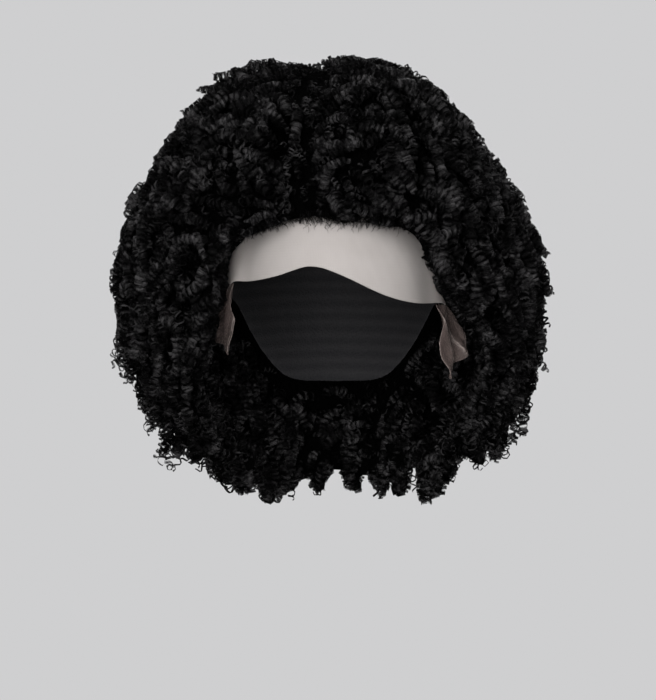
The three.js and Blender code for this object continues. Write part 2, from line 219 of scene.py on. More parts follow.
# The lace front and the two ear tabs: one sheer beige cloth of fine six-sided net with a raw cut
# edge, sewn to the front of the cap. The panel lies stretched over the forehead, and the tabs hang
# loose from its ends, creased, paler where they lie double. Toward its two ends the panel is painted
# paler: painted light set against the shade that the hair casts there.
NET_CELL = 0.001
WEAVE_SPAN = 0.4
WEAVE_MIDDLE = -0.09
HEAD_RADIUS = 0.085
LACE_COLOUR = (0.222, 0.205, 0.195, 1)
LACE_PALE = (0.268, 0.25, 0.24, 1)
# The colour of the panel's sides is painted light: paler lace set against the hair's shade on them.
LACE_SIDE_PAINTED_LIGHT = (0.8, 0.735, 0.7, 1)
TAB_COLOUR = (0.095, 0.071, 0.065, 1)
TAB_EDGE = (0.36, 0.31, 0.29, 1)
SIDE_LIGHT_START = 0.06
SIDE_LIGHT_END = 0.1
DOUBLED_COVER = 0.92
CREASE = 0.0013
CREASES_ALONG = 190
CREASES_DOWN = 60
TAB_CUTS = {"right": ((0.031, 0.05), 0.00133), "left": ((0.036, 0.053), 0.00157)}


def lace_finish(thread_cover, hole_cover, middle, pale, sides, doubled):
    """Net whose threads and holes hide so much, and its colours: middle, painted light at the sides, and
    where doubled.
    """
    def make(tree):
        place = add_node(tree, "ShaderNodeUVMap", {"uv_map": "weave"})
        cells = add_node(tree, "ShaderNodeVectorMath", {"operation": "SCALE"},
                         {0: place, 3: WEAVE_SPAN / NET_CELL})
        net = add_node(tree, "ShaderNodeTexVoronoi",
                       {"feature": "DISTANCE_TO_EDGE", "voronoi_dimensions": "2D"},
                       {"Vector": cells, "Scale": 1.0, "Randomness": 0.45})
        thread = eased(tree, net, 0.05, 0.2, start=1.0, end=0.0)
        cloud = add_node(tree, "ShaderNodeTexNoise", {},
                         {"Vector": on_piece(tree), "Scale": 45.0, "Detail": 4.0})
        across = add_node(tree, "ShaderNodeSeparateXYZ", {}, {0: place}, output="X")
        round_head = (across - 0.5).math("ABSOLUTE") * WEAVE_SPAN
        fold = stored(tree, "doubled")
        tint = blended(tree, cloud, middle, pale)
        # Painted light: the lace turns paler toward its ends, against the shade the hair casts there.
        tint = blended(tree, eased(tree, round_head, SIDE_LIGHT_START, SIDE_LIGHT_END), tint, sides)
        cover = hole_cover + thread * (thread_cover - hole_cover)
        return {"Base Color": blended(tree, fold, tint, doubled),
                "Normal": relief(tree, thread + cloud * 2, depth=0.0003, strength=0.25),
                "Alpha": cover + fold * (DOUBLED_COVER - thread_cover),
                "Roughness": 0.8, "Specular IOR Level": 0.2}
    return make


def lay_weave(mesh):
    """Maps the net in even cells: the way round the head across, and the height up."""
    weave = mesh.uv_layers.new(name="weave")
    for loop in mesh.loops:
        place = mesh.vertices[loop.vertex_index].co
        round_head = math.atan2(place.x, -place.y) * HEAD_RADIUS
        rise = place.z - WEAVE_MIDDLE
        weave.data[loop.index].uv = (0.5 + round_head / WEAVE_SPAN, 0.5 + rise / WEAVE_SPAN)


def crumple(flap):
    """Creases a tab in slanting folds, and notes where the cloth lies double or is seen edge on."""
    doubled = []
    ways = [corner.normal.copy() for corner in flap.vertices]
    for corner, way in zip(flap.vertices, ways):
        slant = corner.co.y * CREASES_ALONG + corner.co.z * CREASES_DOWN
        fold = abs((slant % 2) - 1) - 0.5
        rim = 1 - abs(way.dot(Vector((corner.co.x, corner.co.y, 0)).normalized()))
        doubled.append(0.75 * max(0, min(1, rim * 2 - 0.7), 1 - (0.5 - fold) * 7))
        corner.co.x += CREASE * (2.4 * fold + 1.5 * noise.noise(corner.co * 80 + Vector((3, 7, 1))))
        corner.co.y += CREASE * noise.noise(corner.co * 90)
    flap.attributes.new("doubled", "FLOAT", "POINT").data.foreach_set("value", doubled)


panel_lace = finish_of("lace of the front", lace_finish(
    thread_cover=0.93, hole_cover=0.8, middle=LACE_COLOUR, pale=LACE_PALE, sides=LACE_SIDE_PAINTED_LIGHT,
    doubled=LACE_PALE))
tab_lace = finish_of("lace of the tabs", lace_finish(
    thread_cover=0.5, hole_cover=0.32, middle=TAB_COLOUR, pale=TAB_COLOUR, sides=TAB_COLOUR,
    doubled=TAB_EDGE))
panel = smooth_copy("lace_panel", "lace_front")
lay_weave(panel)
lace_front = add_piece("lace_panel", panel, panel_lace, ["lace_front"])

for side, (cut, area) in TAB_CUTS.items():
    flap = smooth_copy("tab_" + side, "ear_tab_" + side)
    crumple(flap)
    lay_weave(flap)
    tab = add_piece("tab_" + side, flap, tab_lace, ["ear_tab_" + side])


# The undercoat: the dense dark mass of roots and inner curls, sewn to the cap in rows, which shows
# between the outer ringlets. It is the whole hair's form set back from its surface: more where the
# ends hang free, and less on the inner side and at the parting. Its near black is partly the hair's
# own black and partly painted shade: it is kept far darker than the ringlets to stand for the depth.
HAIR = ["hair_front_right", "hair_front_left", "hair_side_right", "hair_side_left", "hair_crown", "hair_nape"]
JOIN_SWELL = 0.0004
FORM_VOXEL = 0.0042
UNDERCOAT_DEPTH = 0.0125
FRINGE_DEPTH = 0.022
INNER_DEPTH = 0.005
UNDERCOAT_RELIEF = 0.0035
MOST_OF_THICKNESS = 0.36
PART_X = -0.021
BEYOND_HAIR = 0.2
# Partly the hair's own black, partly painted shade: far darker than the ringlets' grey.
ROOT_SHADE_BLACK = (0.0001, 0.0001, 0.0001, 1)
ROOT_SHADE_GREY = (0.0006, 0.0006, 0.0006, 1)


def hair_form():
    """The outside of all the hair as one skin, with the joins between its sections closed."""
    mesh = bpy.data.meshes.new("hair_form")
    solids = welded(HAIR, JOIN_SWELL)
    solids.to_mesh(mesh)
    solids.free()
    form = placed("hair_form", mesh)
    remesh = form.modifiers.new("one skin", "REMESH")
    remesh.mode = "VOXEL"
    remesh.voxel_size = FORM_VOXEL
    relax = form.modifiers.new("relax", "SMOOTH")
    relax.iterations = 6
    relax.factor = 0.5
    return baked(form)


skin = hair_form()
skin_corners = [v.co.copy() for v in skin.vertices]
skin_normals = [v.normal.copy() for v in skin.vertices]
skin_faces = [tuple(f.vertices) for f in skin.polygons]
skin_tree = BVHTree.FromPolygons(skin_corners, skin_faces)
head_tree = BVHTree.FromBMesh(welded(["cap", "lace_front"]))


def thickness(place, normal):
    """How deep the hair is below a place, to the far side of its form."""
    hit = skin_tree.ray_cast(place - normal * 0.001, -normal)[3]
    return hit or BEYOND_HAIR


def smoothstep(low, high, value):
    t = min(1, max(0, (value - low) / (high - low)))
    return t * t * (3 - 2 * t)


def undercoat_depth(place, normal):
    """How far the undercoat lies below a place on the hair's form."""
    free_end = smoothstep(-0.15, -0.2, place.z)
    depth = UNDERCOAT_DEPTH + (FRINGE_DEPTH - UNDERCOAT_DEPTH) * free_end
    outwards = normal.dot(Vector((place.x, place.y - 0.02, 0)).normalized())
    depth = INNER_DEPTH + (depth - INNER_DEPTH) * smoothstep(-0.4, 0.2, outwards + normal.z)
    depth += UNDERCOAT_RELIEF * noise.noise(place * 130)
    depth = min(depth, thickness(place, normal) * MOST_OF_THICKNESS)
    by_part = 1 - smoothstep(0.018, 0.032, abs(place.x - PART_X))
    depth *= 1 - 0.4 * smoothstep(0.03, 0.042, place.z) * by_part
    return depth * smoothstep(0.001, 0.012, head_tree.find_nearest(place)[3])


def matted_finish(tree):
    place = on_piece(tree)
    coils = add_node(tree, "ShaderNodeTexVoronoi", {}, {"Vector": place, "Scale": 190.0})
    fine = add_node(tree, "ShaderNodeTexNoise", {}, {"Vector": place, "Scale": 420.0, "Detail": 4.0})
    return {"Base Color": blended(tree, fine, ROOT_SHADE_BLACK, ROOT_SHADE_GREY),
            "Normal": relief(tree, coils + fine * 0.6, depth=0.003, strength=1.0),
            "Roughness": 0.9, "Specular IOR Level": 0.004}


undercoat = skin.copy()
for corner, normal in zip(undercoat.vertices, skin_normals):
    corner.co -= normal * undercoat_depth(corner.co, normal)
shaded_smooth(undercoat)
lighter = placed("undercoat_form", undercoat)
lighter.modifiers.new("fewer faces", "DECIMATE").ratio = 0.45
add_piece("hair_undercoat", baked(lighter), finish_of("matted roots", matted_finish))


# The ringlets: each is a flat ribbon of fine fibres wound into a coil, sewn by its root to the cap.
# They run from the parting out to the sides and hang down. Neighbours gather into locks, whose ends
# stand proud here and there.
COIL_STEP = 0.0006
RIBBON_WIDTH = 0.0056
RIBBON_THICKNESS = 0.0008
PATH_STEP = 0.0026
RINGLET_SPACING = 0.0085
RINGLET_LENGTH = (0.018, 0.036)
RINGLET_DEPTHS = (0.003, 0.004, 0.0055, 0.007)
ROOT_DROP = 0.006
TIGHT_SHARE = 0.9
TIGHT_COIL = {"pitch": (0.0032, 0.0043), "radius": (0.0026, 0.004), "girth": (0.7, 1.0)}
OPEN_COIL = {"pitch": (0.0042, 0.0056), "radius": (0.003, 0.004), "girth": (0.5, 0.62)}
LOOSE_COIL = {"girth": (0.45, 0.58), "pitch": (0.004, 0.0052), "radius": (0.0024, 0.0032)}
PART_BACK = 0.005
PART_FRONT = -0.1
PART_HALF = 0.016
FALL_LEFT = (0.02, 0.11)
FALL_RIGHT = (0.05, 0.13)
HAIR_CENTRE = Vector((0, 0.025, -0.09))
LOCKS = 330
LOCK_SPREAD = 28
TUFT_LIFT = 0.8
# The fibres' black, and the grey of their painted highlights.
FIBRE_BLACK = (0.0001, 0.0001, 0.0001, 1)
FIBRE_HIGHLIGHT_GREY = (0.034, 0.0328, 0.0336, 1)
# Where locks stand up on the outline: the places across and up.
TUFTS = ((-0.055, 0.064), (-0.097, 0.041), (0.094, 0.029), (-0.133, -0.17), (0.147, -0.123), (0.141, -0.07))
# The locks that hang lowest: places across and back, top, bottom, radius and number of ringlets.
HANGING = ((0.068, 0.03, -0.195, -0.247, 0.009, 13), (-0.054, 0.04, -0.2, -0.239, 0.006, 6),
           (-0.082, 0.03, -0.19, -0.232, 0.007, 7))
# The open ends along the lower sides: places across and up, reach up and down, and number.
LOOSE = ((-0.142, -0.15, 0.035, 34), (-0.13, -0.185, 0.03, 26), (0.138, -0.168, 0.03, 18))
dice = random.Random(7)
noise.seed_set(7)


def facing(place):
    """The nearest point of the hair's form and its smooth normal there."""
    point, _, face, _ = skin_tree.find_nearest(place)
    corners = skin_faces[face]
    weights = [1 / ((skin_corners[c] - point).length + 1e-6) for c in corners]
    normal = sum((skin_normals[c] * w for c, w in zip(corners, weights)), Vector())
    return point, normal.normalized()


def in_parting(place, half_width, back=0.02):
    """Whether a place is in the valley of the parting, from the hairline back over the crown."""
    return abs(place.x - PART_X) < half_width and place.y < back and place.z > -0.06


def lattice(count):
    """Directions spread evenly over a sphere."""
    turn = math.pi * (3 - math.sqrt(5))
    spread = []
    for i in range(count):
        z = 1 - (2 * i + 1) / count
        level = math.sqrt(1 - z * z)
        spread.append(Vector((level * math.sin(i * turn), -level * math.cos(i * turn), z)))
    return spread


def flow(place, normal):
    """The way the curls run at a place: away from the parting, then down."""
    on_part = Vector((PART_X, min(PART_BACK, max(PART_FRONT, place.y)), 0))
    away = Vector((place.x, place.y, 0)) - on_part
    reach = away.length
    away = away.normalized() if reach > 1e-4 else Vector((1, 0, 0))
    fall = FALL_LEFT if place.x > PART_X else FALL_RIGHT
    down = max(smoothstep(*fall, reach) * 0.75, smoothstep(-0.02, -0.1, place.z))
    way = away * (1 - down) + Vector((0, 0, -down))
    if in_parting(place, PART_HALF):
        way = way * 0.5 + Vector((0, 0.6, 0.8)) * (1 - abs(place.x - PART_X) / PART_HALF)
    way = way - normal * way.dot(normal)
    return way.normalized() if way.length > 0.05 else Vector((0, 0, -1))


def turned(way, normal, angle):
    return (way * math.cos(angle) + normal.cross(way) * math.sin(angle)).normalized()


def tree_of(places):
    """A search tree over some places."""
    tree = kdtree.KDTree(len(places))
    for i, place in enumerate(places):
        tree.insert(place, i)
    tree.balance()
    return tree


def new_lock(direction):
    """A lock's middle, the way it runs, its turn from the flow, its ends' lift and its rise."""
    hit = skin_tree.ray_cast(HAIR_CENTRE + direction * 0.4, -direction)[0]
    middle, normal = facing(hit or HAIR_CENTRE + direction * 0.13)
    turn = math.radians(dice.gauss(0, LOCK_SPREAD))
    lift = dice.choice((0, 0, 0, 0.1, 0.15, 0.25)) * (1 - smoothstep(-0.15, -0.18, middle.z))
    if any(math.hypot(middle.x - x, middle.z - z) < 0.02 and abs(middle.y) < 0.05 for x, z in TUFTS):
        lift = TUFT_LIFT
    rise = max(-0.0025, dice.gauss(0, 0.0028))
    return middle, turned(flow(middle, normal), normal, turn), turn, lift, rise


locks = [new_lock(direction) for direction in lattice(LOCKS)]
lock_tree = tree_of([lock[0] for lock in locks])


def scatter(spacing, tries, clear_of_head, off_part):
    """Places over the form, no nearer to each other than the spacing, where a curl can be seen."""
    corners = np.array([tuple(c) for c in skin_corners])[np.array([f for f in skin_faces if len(f) == 4])]
    sides = np.cross(corners[:, 2] - corners[:, 0], corners[:, 3] - corners[:, 1])
    areas = np.linalg.norm(sides, axis=1)
    picks = np.random.default_rng(11).choice(len(areas), size=tries, p=areas / areas.sum())
    grid = {}
    kept = []
    for pick in picks:
        a, b, c, d = (Vector(corner) for corner in corners[pick])
        u, v = dice.random(), dice.random()
        place = (a * (1 - u) + b * u) * (1 - v) + (d * (1 - u) + c * u) * v
        cell = tuple(int(math.floor(x / spacing)) for x in place)
        near = (p for i in (-1, 0, 1) for j in (-1, 0, 1) for k in (-1, 0, 1)
                for p in grid.get((cell[0] + i, cell[1] + j, cell[2] + k), ()))
        if any((p - place).length < spacing for p in near):
            continue
        if head_tree.find_nearest(place)[3] < clear_of_head:
            continue
        if in_parting(place, off_part, back=-0.03):
            continue
        grid.setdefault(cell, []).append(place)
        kept.append(place)
    return kept


def ringlet_path(root, length, depth_in, depth_out, spread, room):
    """The middle line of one ringlet: along the form, rising from within it, its end hanging free."""
    middle, lock_way, turn, lift, rise = locks[lock_tree.find(root)[1]]
    place, normal = facing(root)
    deepest = thickness(place, normal) * 0.45
    own_turn = turn + math.radians(dice.gauss(0, spread))
    way = turned(flow(place, normal), normal, own_turn)
    line = []
    steps = int(length / PATH_STEP)
    loose = 0.45 if place.z < -0.13 else 0.6
    sway = Vector((dice.gauss(0, 1), dice.gauss(0, 1), dice.gauss(0, 1))) * 0.05
    for i in range(steps + 1):
        t = i / steps
        depth = min(deepest, depth_in + (depth_out - rise - depth_in) * smoothstep(0, 0.35, t))
        spot = place - normal * depth
        near, _, _, gap = head_tree.find_nearest(spot)
        if gap < room:
            spot = near + (spot - near).normalized() * room
        line.append(spot)
        if t < loose:
            to_middle = middle - place
            aside = to_middle - lock_way * to_middle.dot(lock_way)
            aside -= normal * aside.dot(normal)
            pull = aside * min(1, 0.012 / max(aside.length, 1e-6)) * 17
            along = turned(flow(place, normal), normal, own_turn)
            way = (way * 0.5 + along * 0.4 + pull * t + sway).normalized()
            place, normal = facing(place + way * PATH_STEP)
        else:
            sag = 0.25 if place.z < -0.1 else 0.08
            way = (way * 0.8 + Vector((0, 0, -sag)) + normal * lift * 0.25 + sway).normalized()
            place = place + way * PATH_STEP
            skin_point = skin_tree.find_nearest(place)
            outside = (place - skin_point[0]).dot(skin_point[1])
            if outside > 0.0015 + lift * 0.007 and i > 4:
                break
    return line


def coil_tree():
    """Geometry nodes that wind a ribbon round each path."""
    tree = bpy.data.node_groups.new("ringlets along paths", "GeometryNodeTree")
    for name, kind in (("Paths", "Geometry"), ("Step", "Float"), ("Ribbon Width", "Float"),
                       ("Ribbon Thickness", "Float"), ("Fibre", "Material")):
        tree.interface.new_socket(name, in_out="INPUT", socket_type="NodeSocket" + kind)
    tree.interface.new_socket("Ringlets", in_out="OUTPUT", socket_type="NodeSocketGeometry")
    given = tree.nodes.new("NodeGroupInput")
    paths, step, width, depth, fibre = (Wire(tree, s) for s in given.outputs[:5])

    def named(name):
        return add_node(tree, "GeometryNodeInputNamedAttribute", {"data_type": "FLOAT"}, {"Name": name})

    def vector(operation, a, b=None, scale=None, output=0):
        sockets = {0: a} | ({} if b is None else {1: b}) | ({} if scale is None else {3: scale})
        return add_node(tree, "ShaderNodeVectorMath", {"operation": operation}, sockets, output)

    line = add_node(tree, "GeometryNodeMeshToCurve", {}, {"Mesh": paths})
    line = add_node(tree, "GeometryNodeResampleCurve", {"mode": "LENGTH"}, {"Curve": line, "Length": step})
    normal = add_node(tree, "GeometryNodeInputNormal")
    side = vector("CROSS_PRODUCT", add_node(tree, "GeometryNodeInputTangent"), normal)
    angle = named("angle")
    arm = vector("ADD", vector("SCALE", normal, scale=angle.math("COSINE")),
                 vector("SCALE", side, scale=angle.math("SINE")))
    capture = tree.nodes.new("GeometryNodeCaptureAttribute")
    capture.capture_items.new("VECTOR", "Arm")
    tree.links.new(line.socket, capture.inputs[0])
    tree.links.new(arm.socket, capture.inputs[1])
    line, arm = Wire(tree, capture.outputs[0]), Wire(tree, capture.outputs[1])
    line = add_node(tree, "GeometryNodeSetPosition", {},
                    {"Geometry": line, "Offset": vector("SCALE", arm, scale=named("coil"))})
    line = add_node(tree, "GeometryNodeSetCurveNormal", {"mode": "FREE"}, {"Curve": line, "Normal": arm})
    ring = add_node(tree, "GeometryNodeCurvePrimitiveCircle", {"mode": "RADIUS"},
                    {"Resolution": 3, "Radius": 1.0})
    size = add_node(tree, "ShaderNodeCombineXYZ", {}, {0: depth * 0.67, 1: width * 0.577, 2: 1.0})
    ring = add_node(tree, "GeometryNodeTransform", {},
                    {"Geometry": ring, "Scale": size, "Rotation": (0, 0, math.pi)})
    corner = add_node(tree, "GeometryNodeInputIndex") / 3
    spot = add_node(tree, "GeometryNodeInputPosition")
    wide = add_node(tree, "ShaderNodeSeparateXYZ", {}, {0: spot}, output="Y") / width * 2
    for name, value in (("around", corner), ("across", wide)):
        ring = add_node(tree, "GeometryNodeStoreNamedAttribute", {"data_type": "FLOAT", "domain": "POINT"},
                        {"Geometry": ring, "Name": name, "Value": value})
    tube = add_node(tree, "GeometryNodeCurveToMesh", {},
                    {"Curve": line, "Profile Curve": ring, "Scale": named("taper"), "Fill Caps": True})
    tube = add_node(tree, "GeometryNodeRealizeInstances", {}, {"Geometry": tube})
    tube = add_node(tree, "GeometryNodeSetMaterial", {}, {"Geometry": tube, "Material": fibre})
    out = tree.nodes.new("NodeGroupOutput")
    tree.links.new(tube.socket, out.inputs[0])
    return tree


def lay_flat(mesh, count):
    """Gives each ringlet its own strip of the baked picture: its length across, its girth up."""
    loops = np.empty(len(mesh.loops), dtype=np.int32)
    mesh.loops.foreach_get("vertex_index", loops)
    starts = np.empty(len(mesh.polygons), dtype=np.int32)
    mesh.polygons.foreach_get("loop_start", starts)
    read = {}
    for name in ("along", "around", "which"):
        values = np.empty(len(mesh.vertices), dtype=np.float32)
        mesh.attributes[name].data.foreach_get("value", values)
        read[name] = values[loops]
    wraps = np.maximum.reduceat(read["around"], starts) - np.minimum.reduceat(read["around"], starts) > 0.5
    per_corner = np.repeat(wraps, np.diff(np.append(starts, len(loops))))
    around = np.where(per_corner & (read["around"] < 0.1), 1.0, read["around"])
    flat = np.stack([0.01 + 0.98 * read["along"], read["which"] + 0.8 / count * (around - 0.5)], axis=1)
    mesh.uv_layers.new(name="OFBake").data.foreach_set("uv", flat.astype(np.float32).ravel())


def wind(name, ringlets, material, sizes):
    """Winds the ringlets' paths into one mesh. A ringlet is its points and its coil's numbers."""
    points, edges, numbers = [], [], {"angle": [], "coil": [], "taper": [], "along": [], "which": []}
    for which, (line, coil) in enumerate(ringlets):
        first = len(points)
        seed = coil["phase"]
        angle = seed
        for i, place in enumerate(line):
            t = i / (len(line) - 1)
            slack = 1 + 0.3 * noise.noise(Vector((seed * 9, i * 0.45, 0)))
            angle += coil["hand"] * PATH_STEP * 2 * math.pi / coil["pitch"] * slack if i else 0
            bend = noise.noise_vector(place * 160 + Vector((seed, 0, 0)))
            points.append(place + bend * coil["wave"] * 0.006)
            edges.extend([(first + i - 1, first + i)] if i else [])
            swing = 1 + 2 * coil["wave"] * noise.noise(Vector((seed * 5, i * 0.7, 3)))
            swell = 1 + 0.6 * noise.noise(Vector((seed * 7, i * 0.8, 7)))
            rounding = 0.5 + 0.5 * smoothstep(0, 0.2, t) - 0.45 * smoothstep(0.82, 1, t)
            taper = 0.6 + 0.4 * smoothstep(0, 0.15, t) - 0.3 * smoothstep(0.8, 1, t)
            numbers["angle"].append(angle)
            numbers["coil"].append(coil["radius"] * rounding * swing)
            numbers["taper"].append(coil["girth"] * swell * taper)
            numbers["along"].append(t)
            numbers["which"].append((which + 0.5) / len(ringlets))
    mesh = bpy.data.meshes.new(name + "_paths")
    mesh.from_pydata(points, edges, [])
    for attribute, values in numbers.items():
        mesh.attributes.new(attribute, "FLOAT", "POINT").data.foreach_set("value", values)
    carrier = placed(name + "_paths", mesh)
    winding = carrier.modifiers.new("wind", "NODES")
    winding.node_group = winder
    inputs = {s.name: s.identifier for s in winder.interface.items_tree if s.in_out == "INPUT"}
    for key, value in (sizes | {"Fibre": material}).items():
        winding[inputs[key]] = value
    made = baked(carrier)
    lay_flat(made, len(ringlets))
    made.name = name
    return made


def fibre_finish(frayed):
    """Black fibres along the ribbon, with painted highlights in patches, painted shade at the root and an
    edge that frays into strands.
    """
    def make(tree):
        along, across, which = (stored(tree, name) for name in ("along", "across", "which"))
        place = add_node(tree, "ShaderNodeCombineXYZ", {}, {0: across * 7.5, 1: along * 9, 2: which * 900})
        fibres = add_node(tree, "ShaderNodeTexNoise", {}, {"Vector": place, "Scale": 1.0, "Detail": 2.0})
        shade = add_node(tree, "ShaderNodeTexWhiteNoise", {"noise_dimensions": "1D"}, {"W": which * 91.7})
        # Painted highlights: patches of the curls painted paler where light would fall on the locks.
        highlight_noise = add_node(tree, "ShaderNodeTexNoise", {},
                         {"Vector": on_piece(tree), "Scale": 80.0, "Detail": 4.0, "Roughness": 0.68})
        painted_highlight = eased(tree, highlight_noise, 0.45, 0.68)
        # Painted shade: each ringlet darker toward its root, where it sinks in among the others.
        painted_root_shade = eased(tree, along, 0.0, 0.45, start=0.15, end=1.0)
        share = (painted_highlight * 0.88 + shade * 0.05 + fibres * 0.07) * painted_root_shade
        made = {"Base Color": blended(tree, share, FIBRE_BLACK, FIBRE_HIGHLIGHT_GREY), "Roughness": 0.5 + 0.2 * fibres,
                "Normal": relief(tree, fibres, depth=0.0006, strength=1.0), "Specular IOR Level": 0.008}
        if frayed:
            edge = across * across * 0.24 + 0.35
            made["Alpha"] = ((fibres - edge) * 7).math("MAXIMUM", 0).math("MINIMUM", 1)
        return made
    return make


def section_of(place):
    return min(HAIR, key=lambda section: section_trees[section].find_nearest(place)[3])


def coil_start():
    """Where a coil begins its turn, and the hand it winds to."""
    return {"phase": dice.uniform(0, 6.28), "hand": dice.choice((-1, 1))}


def drawn(ranges):
    return {name: dice.uniform(low, high) for name, (low, high) in ranges.items()}


def ringlet(root):
    """The path and the coil of one long ringlet."""
    depth_out = dice.choice(RINGLET_DEPTHS) + dice.gauss(0, 0.001)
    depth_out += 0.006 * smoothstep(-0.15, -0.19, root.z) * smoothstep(0.05, 0.08, abs(root.x))
    depth_in = depth_out + (0.001 if in_parting(root, 0.018) else ROOT_DROP)
    line = ringlet_path(root, dice.uniform(*RINGLET_LENGTH), depth_in, depth_out, 26, 0.0055)
    coil = coil_start() | {"wave": dice.uniform(0.1, 0.25)}
    return line, coil | drawn(TIGHT_COIL if dice.random() < TIGHT_SHARE else OPEN_COIL)


def hanging_ringlet(x, y, top, bottom, out, around):
    """A ringlet that hangs nearly straight down in one of the lowest locks."""
    aside = Vector((math.cos(around), math.sin(around), 0)) * out
    foot = Vector((x, y, bottom + dice.uniform(0, 0.012))) + aside
    head = Vector((x * 1.06, y, top)) + aside * 1.5
    steps = int((head - foot).length / PATH_STEP)
    return [head.lerp(foot, s / steps) for s in range(steps + 1)], ringlet(head)[1]


def loose_ringlet(x, z):
    """A short ringlet in open loops that stands off the hair's side."""
    root, normal = facing(Vector((x * 1.05, dice.uniform(-0.04, 0.045), z)))
    line = ringlet_path(root, dice.uniform(0.012, 0.02), 0.004, -0.0025, 45, 0.0055)
    line = [place + normal * 0.004 * i / len(line) for i, place in enumerate(line)]
    return line, coil_start() | drawn(LOOSE_COIL) | {"wave": 0.3}


curl_fibre = finish_of("curl fibre", fibre_finish(True))
stray_fibre = finish_of("stray fibre", fibre_finish(False))
winder = coil_tree()
section_trees = {section: BVHTree.FromBMesh(welded([section])) for section in HAIR}
by_piece = {}
for x, y, top, bottom, radius, count in HANGING:
    piece = "hair_nape_right_curls" if x < 0 else "hair_nape_left_curls"
    for i in range(count):
        out = radius * math.sqrt((i + 0.5) / count)
        hung = hanging_ringlet(x, y, top, bottom, out, i * 2.4)
        by_piece.setdefault(("hair_nape", piece), []).append(hung)
for x, z, reach, count in LOOSE:
    section = "hair_side_right" if x < 0 else "hair_side_left"
    for _ in range(count):
        by_piece.setdefault((section, section + "_curls"), []).append(
            loose_ringlet(x, z + dice.uniform(-reach, reach)))
for root in scatter(RINGLET_SPACING, 90000, clear_of_head=0.007, off_part=0.003):
    section = section_of(root)
    half = ("_right" if root.x < 0 else "_left") if section in ("hair_crown", "hair_nape") else ""
    by_piece.setdefault((section, section + half + "_curls"), []).append(ringlet(root))
ribbon = {"Step": COIL_STEP, "Ribbon Width": RIBBON_WIDTH, "Ribbon Thickness": RIBBON_THICKNESS}
for (section, name), ringlets in sorted(by_piece.items()):
    add_piece(name, wind(name, ringlets, curl_fibre, ribbon), curl_fibre, [section])


# The frizz: thinner strands that have worked loose of the ringlets. They stand off the surface in
# wider, slacker loops, most of all where the ends hang, and none lies inside the nape.
STRAND_WIDTH = 0.0014
STRAND_THICKNESS = 0.0006
STRAND_SPACING = 0.016
STRAND_LENGTH = (0.016, 0.034)
STRAND_STEP = 0.0007
STRAND_COIL = {"pitch": (0.00378, 0.00702), "radius": (0.002025, 0.00324), "girth": (0.7, 1.2)}

strands = []
for root in scatter(STRAND_SPACING, 30000, clear_of_head=0.009, off_part=0.002):
    if root.y > 0.02 and facing(root)[1].y < 0:
        continue
    if dice.random() < smoothstep(-0.17, -0.06, root.z) * 0.92:
        continue
    stand = dice.choice((-0.001, 0.002, 0.004)) + dice.gauss(0, 0.001)
    line = ringlet_path(root, dice.uniform(*STRAND_LENGTH), stand + ROOT_DROP, stand, 40, 0.006)
    strands.append((line, coil_start() | drawn(STRAND_COIL) | {"wave": 0.2}))
frizz = wind("frizz", strands, stray_fibre,
             {"Step": STRAND_STEP, "Ribbon Width": STRAND_WIDTH, "Ribbon Thickness": STRAND_THICKNESS})
add_piece("frizz", frizz, stray_fibre)


# The small curls: short, tight ones of the same fibre along the hairline, where they cover the edge
# of the roots, in the parting, and wherever the long ringlets leave a gap near the surface.
SMALL_RIBBON = 0.0023
SMALL_THICKNESS = 0.0007
SMALL_SPACING = 0.0047
SMALL_LENGTH = (0.009, 0.018)
SMALL_STEP = 0.00072
SMALL_COIL = {"pitch": (0.0027, 0.0045), "radius": (0.00147, 0.002625), "girth": (0.7, 1.1)}
NEAR_SURFACE = 0.0085
GAP = 0.005
PART_GAP = 0.0044

lines = [line for ringlets in by_piece.values() for line, _ in ringlets]
laid_tree = tree_of([spot for line in lines for spot in line[2:]
                     if skin_tree.find_nearest(spot)[3] < NEAR_SURFACE])
small = []
for root in scatter(SMALL_SPACING, 150000, clear_of_head=0.0016, off_part=0):
    to_head = head_tree.find_nearest(root)[3]
    at_rim = to_head < 0.009 and root.y < 0.02
    in_valley = in_parting(root, 0.017)
    bare = laid_tree.find(root - facing(root)[1] * 0.006)[2] > (PART_GAP if in_valley else GAP)
    if not at_rim and (to_head < 0.007 or not bare):
        continue
    depth = 0.0015 if at_rim else dice.uniform(0.001, 0.006 if in_valley else 0.0075)
    line = ringlet_path(root, dice.uniform(*SMALL_LENGTH), depth + 0.0015, depth, 40, 0.0026)
    small.append((line, coil_start() | drawn(SMALL_COIL) | {"wave": 0.2}))
filler = wind("small_curls", small, curl_fibre,
              {"Step": SMALL_STEP, "Ribbon Width": SMALL_RIBBON, "Ribbon Thickness": SMALL_THICKNESS})
add_piece("small_curls", filler, curl_fibre)


# The baby hairs: single fibres tied to the lace along the hairline, which bend back into the curls
# and soften its edge. Among them are a few slack wisps that have slipped forward onto the lace.
BABY_HAIR = 0.00022
BABY_STEP = 0.0012
BABIES = 1000
WISPS = 120
WISP_COIL = {"radius": (0.00147, 0.00252)}
# The hairline: degrees round the head from its front, and the drop below the cap's crown.
HAIRLINE = ((-66, 0.056), (-60, 0.0546), (-45, 0.0514), (-33, 0.0473), (-21, 0.0432), (-4, 0.0437),
            (13, 0.045), (32, 0.046), (45, 0.0514), (50, 0.06), (56, 0.0735), (62, 0.087))


def on_lace(azimuth, drop):
    """A place on the outside of the lace or cap, and the way out of it."""
    out = Vector((math.sin(math.radians(azimuth)), -math.cos(math.radians(azimuth)), 0))
    hit, normal = head_tree.ray_cast(out * 0.2 - Vector((0, 0, drop)), -out)[:2]
    return hit, normal


def hairline_drop(azimuth):
    """How far the hairline lies below the crown, in a straight run between its points."""
    for (a, low), (b, high) in zip(HAIRLINE, HAIRLINE[1:]):
        if azimuth <= b:
            return low + (high - low) * (azimuth - a) / (b - a)
    return HAIRLINE[-1][1]


